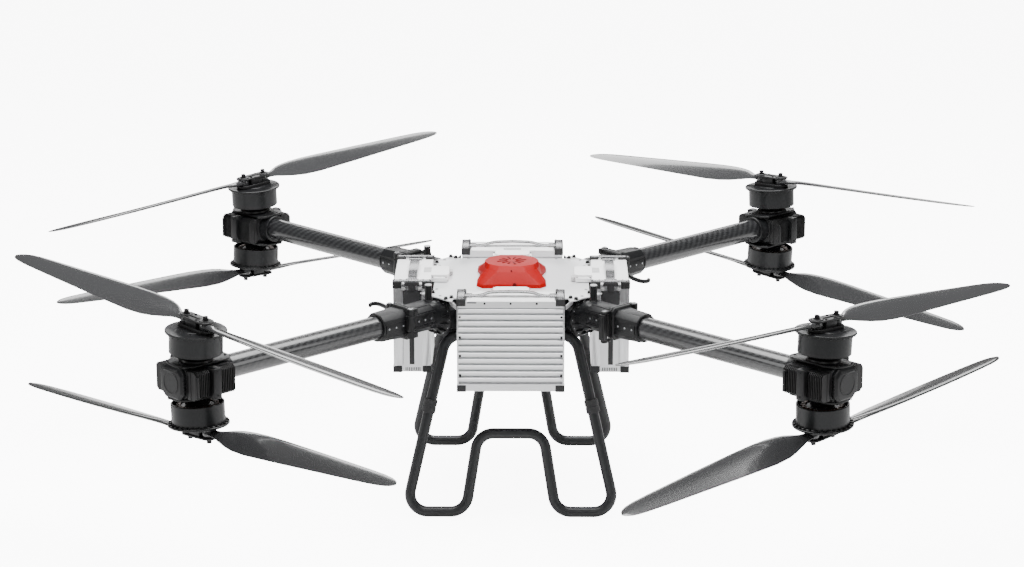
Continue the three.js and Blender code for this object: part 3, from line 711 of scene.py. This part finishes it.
def root_screws():
    shape = bmesh.new()
    for side in (-1, 1):
        outward = sideways(side)
        for u in (325, 347, 369):
            screw_into(shape, at(u, side * 34.6, ARM_Z) @ outward, 2.6, 1.4)
    for k in range(12):
        a = math.radians(30 * k + 30)
        seat = at(271.6, 44.5 * math.cos(a), 515.5 + 44.5 * math.sin(a))
        screw_into(shape, seat @ OUTWARD, 2.4, 1.6, 10)
    screw_into(shape, at(*LATCH, 565), 5.4, 2.0, 16)
    screw_into(shape, at(*HINGE, 571), 6.4, 2.2, 16)
    return shape


MASTS = {"front_left": (303, 609), "front_right": (303, 609), "back_left": (331, 598)}


def mast_shape(u, top):
    shape = bmesh.new()
    turned_into(shape, [(0, 560), (11.4, 560), (11.4, 566.5), (10, 568), (9.5, 569), (9.5, top - 2.6),
                        (0, top - 2.6)], 28, at(u, 0, 0))
    return shape


def mast_top_shape(u, top):
    shape = bmesh.new()
    turned_into(shape, [(0, top - 2.8), (9.3, top - 2.8), (9.3, top - 1), (8.2, top), (0, top)], 28,
                at(u, 0, 0))
    return shape


for arm, angle in ARMS.items():
    turn = about_z(angle)
    for part, maker, material in (("casting", root_shape, CAST_BLACK),
                                  ("screws", root_screws, SCREW_SILVER)):
        fit(f"root_{part}_{arm}", maker(), material, "airframe", turn,
            [f"arm_root_{arm}"] if part == "casting" else ())
    if arm not in MASTS:
        continue
    for part, maker, material in (("mast", mast_shape, CAST_BLACK),
                                  ("mast_top", mast_top_shape, POST_TOP)):
        fit(f"root_{part}_{arm}", maker(*MASTS[arm]), material, "airframe", turn)

# ------------------------------------------------------------------ latch levers
# Forged black levers: a barrel on the latch pin. One diagonal pair has a handle that bows along
# its length and curls outward at the tip for a finger; the other pair has a short upright bar.
LEVER_ANGLES = {"front_left": 240, "back_right": 240, "front_right": 0, "back_left": 0}
HOOKED = ("front_left", "back_right")
LEVER_LINE = [(2, -3), (16, -7.5), (30, -11), (46, -12.8), (62, -13), (80, -11.5), (98, -8.5), (112, -4.5),
              (124, 1), (131, 6), (134, 12), (133, 18), (129, 23), (123, 26.5), (116, 28)]


def lever_shape(hooked):
    shape = bmesh.new()
    turned_into(shape, barrel(8, 489.4, 557.6, 4.2), 28)
    if not hooked:
        box_into(shape, mm(-9.5, 9.5), mm(-12, -4.5), mm(489.5, 557.5), 1.6 * MM, 3)
        box_into(shape, mm(-6, 6), mm(-13.4, -11), mm(496, 551), 1.0 * MM)
        return shape
    rings = []
    for i, (x, y) in enumerate(LEVER_LINE):
        px, py = LEVER_LINE[max(i - 1, 0)]
        nx, ny = LEVER_LINE[min(i + 1, len(LEVER_LINE) - 1)]
        across = Vector((py - ny, nx - px)).normalized()
        wide = 4.8 - 1.0 * (i == len(LEVER_LINE) - 1)
        tall = 6.2 - 1.2 * i / len(LEVER_LINE)
        ring = []
        for k in range(12):
            a = math.tau * k / 12
            c, s = math.cos(a), math.sin(a)
            side = wide * math.copysign(abs(c) ** 0.6, c)
            lift = tall * math.copysign(abs(s) ** 0.6, s)
            ring.append(mm(x + across.x * side, y + across.y * side, ARM_Z + lift))
        rings.append(ring)
    handle = bmesh.new()
    loft(handle, rings)
    soften(handle, 1.4 * MM, 3, 70)
    absorb(shape, handle)
    return shape


for arm, angle in ARMS.items():
    shape = lever_shape(arm in HOOKED)
    turn = about_z(angle) @ at(*LATCH, 0) @ about_z(LEVER_ANGLES[arm])
    fit(f"lever_{arm}", shape, CAST_BLACK, f"latch_{arm}", turn, [f"latch_lever_{arm}"])

# ------------------------------------------------------------------ fold sleeves
# The moving half of each fold: a square flange, an eight-sided sleeve that clamps the arm tube
# with a row of screws on each side, and the middle knuckle of the hinge.


def sleeve_shape():
    shape = bmesh.new()
    flange = bmesh.new()
    loft(flange, [eight(400.6, 38, 43, 9), eight(407, 38, 43, 9), eight(411, 36, 39, 13)])
    soften(flange, 1.2 * MM, 3, 20)
    absorb(shape, flange)
    body = bmesh.new()
    loft(body, [eight(408, 36, 38, 15), eight(430, 35.5, 36.5, 15), eight(484, 33.8, 34.8, 14.2),
                eight(488, 33, 34, 14)])
    soften(body, 1.6 * MM, 3, 20)
    absorb(shape, body)
    for side in (-1, 1):
        box_into(shape, mm(414, 482), flank(side, 30, 36.4), mm(517, 541), 1.2 * MM)
        for z in (497.5, 560.5):
            box_into(shape, mm(412, 478), flank(side, 16, 20), mm(z - 3, z + 3), 1.0 * MM)
    turned_into(shape, [(30.3, 0), (36, 0), (37, 1), (37, 4), (36, 5), (30.3, 5)], 40,
                at(484, 0, ARM_Z) @ OUTWARD)
    turned_into(shape, [(6.1, 511.3), (9, 511.3), (10, 512.3), (10, 552.7), (9, 553.7), (6.1, 553.7)],
                28, at(*HINGE, 0))
    box_into(shape, mm(405.5, 416), mm(30, 50), mm(512, 553), 1.4 * MM)
    return shape


def sleeve_screws():
    shape = bmesh.new()
    for side in (-1, 1):
        outward = sideways(side)
        for u in (425, 449, 473):
            screw_into(shape, at(u, side * 36.2, ARM_Z) @ outward, 2.6, 1.4)
    return shape


for arm, angle in ARMS.items():
    for part, maker, material in (("casting", sleeve_shape, CAST_BLACK),
                                  ("screws", sleeve_screws, SCREW_SILVER)):
        fit(f"sleeve_{part}_{arm}", maker(), material, f"arm_{arm}", about_z(angle),
            [f"fold_sleeve_{arm}"] if part == "casting" else ())

# ------------------------------------------------------------------ arm tubes
# Roll-wrapped carbon tube, 60 mm across, with a clear-coated twill weave that runs round it. The
# weave follows a UV map measured in millimetres along and round the tube.
TUBE_OUTER, TUBE_START, TUBE_END = 30, 412, 992
WEAVE_RADIUS = 28.01  # makes a whole number of tows fit round the tube


def carbon_twill():
    material = bpy.data.materials.new("carbon_twill")
    material.use_nodes = True
    nodes, links = material.node_tree.nodes, material.node_tree.links
    shader = nodes["Principled BSDF"]
    shader.inputs["Coat Weight"].default_value = 0.9
    shader.inputs["Coat Roughness"].default_value = 0.12
    shader.inputs["Specular IOR Level"].default_value = 0.5
    where = nodes.new("ShaderNodeUVMap")
    where.uv_map = "wrap"
    split = nodes.new("ShaderNodeSeparateXYZ")
    links.new(where.outputs["UV"], split.inputs[0])
    tow = 5.5

    def math_node(kind, first, second=None, third=None):
        node = nodes.new("ShaderNodeMath")
        node.operation = kind
        for socket, value in zip(node.inputs, (first, second, third)):
            if value is None:
                continue
            if isinstance(value, (int, float)):
                socket.default_value = value
            else:
                links.new(value, socket)
        return node.outputs[0]

    along = math_node("DIVIDE", split.outputs["X"], tow)
    across = math_node("DIVIDE", split.outputs["Y"], tow)
    column = math_node("FLOOR", along)
    row = math_node("FLOOR", across)
    step = math_node("MODULO", math_node("ADD", math_node("ADD", column, row), 400), 4)
    over = math_node("LESS_THAN", step, 1.5)
    crown_a = math_node("SINE", math_node("MULTIPLY", math_node("FRACT", across), math.pi))
    crown_b = math_node("SINE", math_node("MULTIPLY", math_node("FRACT", along), math.pi))
    height = nodes.new("ShaderNodeMix")
    links.new(over, height.inputs["Factor"])
    links.new(crown_b, height.inputs["A"])
    links.new(crown_a, height.inputs["B"])
    tone = nodes.new("ShaderNodeMix")
    tone.data_type = "RGBA"
    tone.inputs["A"].default_value = (0.005, 0.005, 0.006, 1)
    tone.inputs["B"].default_value = (0.017, 0.0175, 0.019, 1)
    links.new(over, tone.inputs["Factor"])
    links.new(tone.outputs["Result"], shader.inputs["Base Color"])
    gloss = math_node("MULTIPLY_ADD", over, 0.12, 0.34)
    links.new(gloss, shader.inputs["Roughness"])
    relief = nodes.new("ShaderNodeBump")
    relief.inputs["Strength"].default_value = 0.12
    relief.inputs["Distance"].default_value = 0.0004
    links.new(height.outputs["Result"], relief.inputs["Height"])
    links.new(relief.outputs["Normal"], shader.inputs["Normal"])
    return material


CARBON_TWILL = carbon_twill()


def tube_shape(sides=64):
    shape = bmesh.new()
    wrap = shape.loops.layers.uv.new("wrap")
    inner, outer = TUBE_OUTER - 3, TUBE_OUTER
    length = TUBE_END - TUBE_START
    turned_into(shape, [(inner, 0), (inner, length), (outer - 0.6, length), (outer, length - 0.6),
                        (outer, 0.6), (outer - 0.6, 0), (inner, 0)], sides)
    for face in shape.faces:
        angles = [math.atan2(loop.vert.co.y, loop.vert.co.x) for loop in face.loops]
        if max(angles) - min(angles) > math.pi:
            angles = [a + math.tau if a < 0 else a for a in angles]
        for loop, a in zip(face.loops, angles):
            loop[wrap].uv = (loop.vert.co.z / MM, a * WEAVE_RADIUS)
    bmesh.ops.transform(shape, matrix=at(TUBE_START, 0, ARM_Z) @ OUTWARD, verts=shape.verts)
    return shape


for arm, angle in ARMS.items():
    fit(f"tube_{arm}", tube_shape(), CARBON_TWILL, f"arm_{arm}", about_z(angle),
        [f"arm_tube_{arm}"])

# ------------------------------------------------------------------ motor pods
# Cast pod between the two motors: a tube clamp inward, an eight-sided cap outward, and a finned
# speed-controller cooler on each side. Shoulder plates above and below carry the fixed stators.
POD_BLACK = finish("pod_black", (0.007, 0.0073, 0.008), 0.36, tone=0.25, grain=800, bump=0.1, specular=0.32)
FIN_BLACK = finish("fin_black", (0.007, 0.007, 0.0075), 0.46, tone=0.2, grain=900, bump=0.08, specular=0.35)
POD = (1070, 525)
CANT = 3
FINS = 24
FIN_PITCH = 5.2
LEVELS = {"upper": 1, "lower": -1}


def pod_frame(arm):
    return about_z(ARMS[arm]) @ at(POD[0], 0, POD[1])


def lean(up):
    """Leans a motor about its arm axis and turns the lower one upside down."""
    turned_over = Matrix.Rotation(math.pi, 4, "X") if up < 0 else Matrix.Identity(4)
    return Matrix.Rotation(math.radians(-CANT * up), 4, "X") @ turned_over


def pod_shape():
    shape = bmesh.new()
    core = bmesh.new()
    loft(core, [eight(-62, 40, 36, 12, 0), eight(-58, 44, 41, 12, 0), eight(62, 44, 41, 12, 0)])
    soften(core, 1.6 * MM, 3, 20)
    absorb(shape, core)
    cap = bmesh.new()
    loft(cap, [eight(62.5, 43, 41, 16, 0), eight(71, 43, 41, 16, 0), eight(76.6, 37, 35, 13.5, 0)])
    soften(cap, 1.6 * MM, 3, 20)
    absorb(shape, cap)
    boss = [(0, 76), (27, 76), (28, 77.6), (25.5, 77.6), (24.5, 76.8), (0, 76.8)]
    turned_into(shape, boss, 48, OUTWARD)
    box_into(shape, mm(74, 77.8), mm(-24, 24), mm(27.5, 32), 0.8 * MM)
    for side in (-1, 1):
        for z in (-16, -8, 0, 8, 16):
            box_into(shape, mm(64, 72), flank(side, 41, 44.4), mm(z - 2, z + 2), 0.6 * MM)
    socket = at(0, 0, ARM_Z - POD[1]) @ OUTWARD
    turned_into(shape, [(30.4, -90.5), (36.5, -90.5), (38, -89), (38, -72), (41, -66), (41, -60),
                        (30.4, -60)], 48, socket)
    side_line = [(-84, 26), (-66, 46), (40, 46), (64, 34), (72, 16)]
    shoulder = [mm(x, -y) for x, y in side_line] + [mm(x, y) for x, y in reversed(side_line)]
    neck = [(0, 44), (43, 44), (41, 50), (33, 54), (31, 58), (31, 66), (0, 66)]
    for up in LEVELS.values():
        slab_into(shape, shoulder, *mm(40, 46), width=1.6 * MM, segments=3, turn=lean(up))
        turned_into(shape, neck, 48, lean(up))
    return shape


def pod_coolers():
    """A base plate and a row of thin fins on each flank, parted in the middle by the boss."""
    shape = bmesh.new()
    fin = [mm(44, -35), mm(69, -35), mm(76, -28), mm(76, 28), mm(69, 35), mm(44, 35)]
    upright = Matrix(((0, 0, 1, 0), (1, 0, 0, 0), (0, 1, 0, 0), (0, 0, 0, 1)))
    for side in (-1, 1):
        flip = about_z(0 if side > 0 else 180)
        box_into(shape, mm(-62, 62), mm(44.2, 58), mm(-35, 35), 1.2 * MM, turn=flip)
        for k in range(FINS):
            x = -60 + FIN_PITCH * k
            if abs(x) < 13:
                continue
            slab_into(shape, fin, *mm(-0.9, 0.9), turn=flip @ at(x, 0, 0) @ upright)
    return shape


def pod_bosses():
    shape = bmesh.new()
    for side in (-1, 1):
        flip = about_z(0 if side > 0 else 180)
        box_into(shape, mm(-12, 12), mm(44, 86), mm(-39, 38), 2.2 * MM, 3, turn=flip)
        box_into(shape, mm(52, 60), mm(58, 80), mm(-30, 24), 1.6 * MM, 3, turn=flip)
    return shape


def pod_screws():
    shape = bmesh.new()
    for side in (-1, 1):
        outward = sideways(side)
        for z in (-30, 30):
            screw_into(shape, at(0, side * 86, z) @ outward, 2.6, 1.2)
    for y in (-29, 29):
        for z in (-28, 28):
            screw_into(shape, at(74.6, y, z) @ OUTWARD, 2.6, 1.6)
    for up in LEVELS.values():
        for x, y in ((-72, -22), (-72, 22), (66, -26), (66, 26)):
            screw_into(shape, lean(up) @ at(x, y, 46), 3.0, 1.6)
    return shape


for arm in ARMS:
    here = pod_frame(arm)
    for part, maker, material in (
        ("body", pod_shape, POD_BLACK), ("coolers", pod_coolers, FIN_BLACK),
        ("bosses", pod_bosses, POD_BLACK), ("screws", pod_screws, SCREW_BLACK),
    ):
        fit(f"pod_{part}_{arm}", maker(), material, f"arm_{arm}", here,
            [f"motor_pod_{arm}"] if part == "body" else ())

# ------------------------------------------------------------------ stators
# The fixed inside of each motor: a dark slotted core with enamelled copper coils that shows
# through the open end of the bell.
COPPER_COIL = finish("copper_coil", (0.05, 0.022, 0.012), 0.34, metal=0.6, tone=0.4, tone_scale=80, grain=300,
                     bump=0.3)
CORE_STEEL = finish("core_steel", (0.05, 0.05, 0.052), 0.4, metal=0.6, tone=0.2, grain=200, bump=0.1)
TEETH = 24


def stator_core(up):
    shape = bmesh.new()
    turned_into(shape, [(0, 70), (40, 70), (40, 108), (0, 108)], 48, lean(up))
    for k in range(TEETH):
        spoke = lean(up) @ about_z(360 * k / TEETH)
        box_into(shape, mm(38, 55), mm(-2.2, 2.2), mm(71, 107), 0, turn=spoke)
    return shape


def stator_coils(up):
    shape = bmesh.new()
    for k in range(TEETH):
        spoke = lean(up) @ about_z(360 * k / TEETH)
        box_into(shape, mm(40.5, 52.5), mm(-4.6, 4.6), mm(67, 110.5), 1.9 * MM, 3, turn=spoke)
    return shape


for arm in ARMS:
    for level, up in LEVELS.items():
        for part, maker, material in (("core", stator_core, CORE_STEEL),
                                      ("coils", stator_coils, COPPER_COIL)):
            fit(f"stator_{part}_{level}_{arm}", maker(up), material, f"arm_{arm}",
                pod_frame(arm))

# ------------------------------------------------------------------ rotor bells
# Anodised aluminium bell with a wide rim disc under the propeller clamp. The clamp is two plates
# with a spacer, and a bolt holds each folding blade.
BELL_BLACK = finish("bell_black", (0.011, 0.0115, 0.0125), 0.32, metal=0.2, specular=0.4, tone=0.08,
                    grain=260, bump=0.05, stretch=(1, 1, 0.08))
RIM_DARK = finish("rim_dark", (0.012, 0.012, 0.013), 0.34, metal=0.2, specular=0.45, tone=0.1,
                  grain=500, bump=0.05)
PARK = 0.8
UPPER_SPIN = {"front_left": -1, "front_right": 1, "back_left": 1, "back_right": -1}


def bell_shape():
    shape = bmesh.new()
    turned_into(shape, [
        (61.5, 63), (64.5, 63), (65.5, 64.2), (65.5, 113), (67, 114.2), (74.3, 114.2), (75.5, 115.2),
        (75.5, 118.8), (74.3, 120), (52, 120), (50.5, 119.2), (34, 119.2), (33, 120), (0, 120),
        (0, 112), (61.5, 112), (61.5, 63)], 72)
    for k in range(28):
        box_into(shape, mm(66, 73.4), mm(-2.6, 2.6), mm(111.6, 114.6), 0.6 * MM, turn=about_z(360 * k / 28))
    for k in range(12):
        spoke = about_z(30 * k)
        box_into(shape, mm(36, 49), mm(-1.6, 1.6), mm(118.8, 119.9), 0.3 * MM, turn=spoke)
    return shape


def clamp_shape():
    shape = bmesh.new()
    outline = []
    for side in (1, -1):
        for k in range(13):
            a = math.radians(15 * k - 90)
            outline.append(mm(side * (36 + 20.5 * math.cos(a)), side * 20.5 * math.sin(a)))
    slab_into(shape, outline, *mm(120, 128.7), width=1.2 * MM, segments=3)
    slab_into(shape, outline, *mm(145.3, 150), width=1.0 * MM, segments=3)
    box_into(shape, mm(-19.4, 19.4), mm(-17, 17), mm(128, 146), 1.2 * MM)
    box_into(shape, mm(-26, 26), mm(-3, 3), mm(149.5, 152), 0.9 * MM)
    for side in (-1, 1):
        turned_into(shape, [(0, 128), (6, 128), (6, 146), (0, 146)], 20, at(side * 36, 0, 0))
        turned_into(shape, [(0, 149.6), (15, 149.6), (15.6, 150.4), (15.6, 151), (14.6, 152),
                            (0, 152)], 28, at(side * 36, 0, 0))
    return shape


def clamp_bolts():
    shape = bmesh.new()
    for side in (-1, 1):
        turned_into(shape, [(0, 156), (3, 156), (3.4, 161.5), (5.6, 161.5), (6.2, 160.8), (6.2, 153),
                            (9.4, 153.2), (9.4, 151), (0, 151)], 20, at(side * 36, 0, 0))
    for x, y in ((-17, 13), (17, 13), (-17, -13), (17, -13)):
        screw_into(shape, at(x, y, 150), 3.0, 2.0)
    return shape


def rotor_frame(arm, level):
    up = LEVELS[level]
    spin = UPPER_SPIN[arm] * up
    tilt = Matrix.Rotation(math.radians(-CANT * up), 4, "X")
    return pod_frame(arm) @ tilt @ about_z(90 - PARK * spin * up), spin


for arm in ARMS:
    for level, up in LEVELS.items():
        here, spin = rotor_frame(arm, level)
        if up < 0:
            here = here @ Matrix.Rotation(math.pi, 4, "X")
        body = f"rotor_{level}_{arm}"
        for part, maker, material in (
            ("bell", bell_shape, BELL_BLACK), ("clamp", clamp_shape, RIM_DARK),
            ("bolts", clamp_bolts, SCREW_BLACK),
        ):
            fit(f"{part}_{level}_{arm}", maker(), material, body, here,
                [f"rotor_{level}_{arm}"] if part == "bell" else ())

# ------------------------------------------------------------------ blades
# Moulded carbon composite blades, broad just past a narrow folding root and tapering to a
# swept tip. Thin, twisted, with a satin skin that shows faint spanwise fibre.
BLADE_SKIN = finish("blade_skin", (0.034, 0.0345, 0.036), 0.2, coat=0.8, specular=0.6, tone=0.16,
                    tone_scale=3, grain=900, bump=0.006)
BLADE_STATIONS = [
    (10, 30, 15, 15, 0), (22, 30, 15.5, 14, 1), (34, 33, 18, 12.5, 5), (46, 42, 24, 11.5, 9),
    (58, 52, 30, 11, 13),
    (74, 62, 36, 10.6, 16), (96, 74, 41, 10.2, 17.5), (130, 86, 45, 9.8, 17.5), (180, 92, 46.5, 9.3, 16.8),
    (240, 90, 45, 8.7, 15.5), (320, 85, 41, 8, 13.8), (400, 78.5, 36.5, 7.2, 12.2), (480, 71, 31, 6.3, 10.8),
    (560, 62.5, 25, 5.3, 9.6), (610, 55, 20, 4.5, 8.9), (640, 46, 14, 3.9, 8.5), (658, 35, 7, 3.3, 8.3),
    (669, 22, -1, 2.7, 8.1), (675, 8, -9, 2.0, 8),
]
BLADE_SECTION = [
    (0.0, 0.0), (0.02, 0.22), (0.07, 0.42), (0.16, 0.58), (0.3, 0.66), (0.45, 0.62), (0.62, 0.48),
    (0.8, 0.28), (0.94, 0.11), (1.0, 0.04), (1.0, -0.02), (0.9, -0.08), (0.7, -0.2), (0.5, -0.3),
    (0.3, -0.38), (0.15, -0.38),
    (0.06, -0.3), (0.015, -0.15),
]
BLADE_CONE = 0.3


def blade_shape(spin):
    shape = bmesh.new()
    rings = []
    for x, chord, lead, thick, pitch in BLADE_STATIONS:
        c, s = math.cos(math.radians(pitch)), math.sin(math.radians(pitch))
        rise = x * math.tan(math.radians(BLADE_CONE))
        ring = []
        for back, up in BLADE_SECTION:
            y, z = lead - back * chord, up * thick
            ring.append(mm(x, spin * (y * c - z * s), y * s + z * c + rise))
        rings.append(ring)
    loft(shape, rings)
    root_edges = [e for e in shape.edges if all(v.co.x < 11 * MM for v in e.verts)]
    soften(shape, 1.0 * MM, 2, 50, root_edges)
    eye = [(6.6, -7.8), (14.6, -7.8), (15.5, -7), (15.5, 7), (14.6, 7.8), (6.6, 7.8), (6.6, -7.8)]
    turned_into(shape, eye, 36)
    return shape


for arm in ARMS:
    for level, up in LEVELS.items():
        here, spin = rotor_frame(arm, level)
        for letter, half in (("a", 0), ("b", 180)):
            seat = here @ about_z(half) @ at(36, 0, 137 * up)
            name = f"blade_{level}_{letter}_{arm}"
            fit(f"skin_{level}_{letter}_{arm}", blade_shape(spin), BLADE_SKIN, name,
                seat, [name], smooth=50)
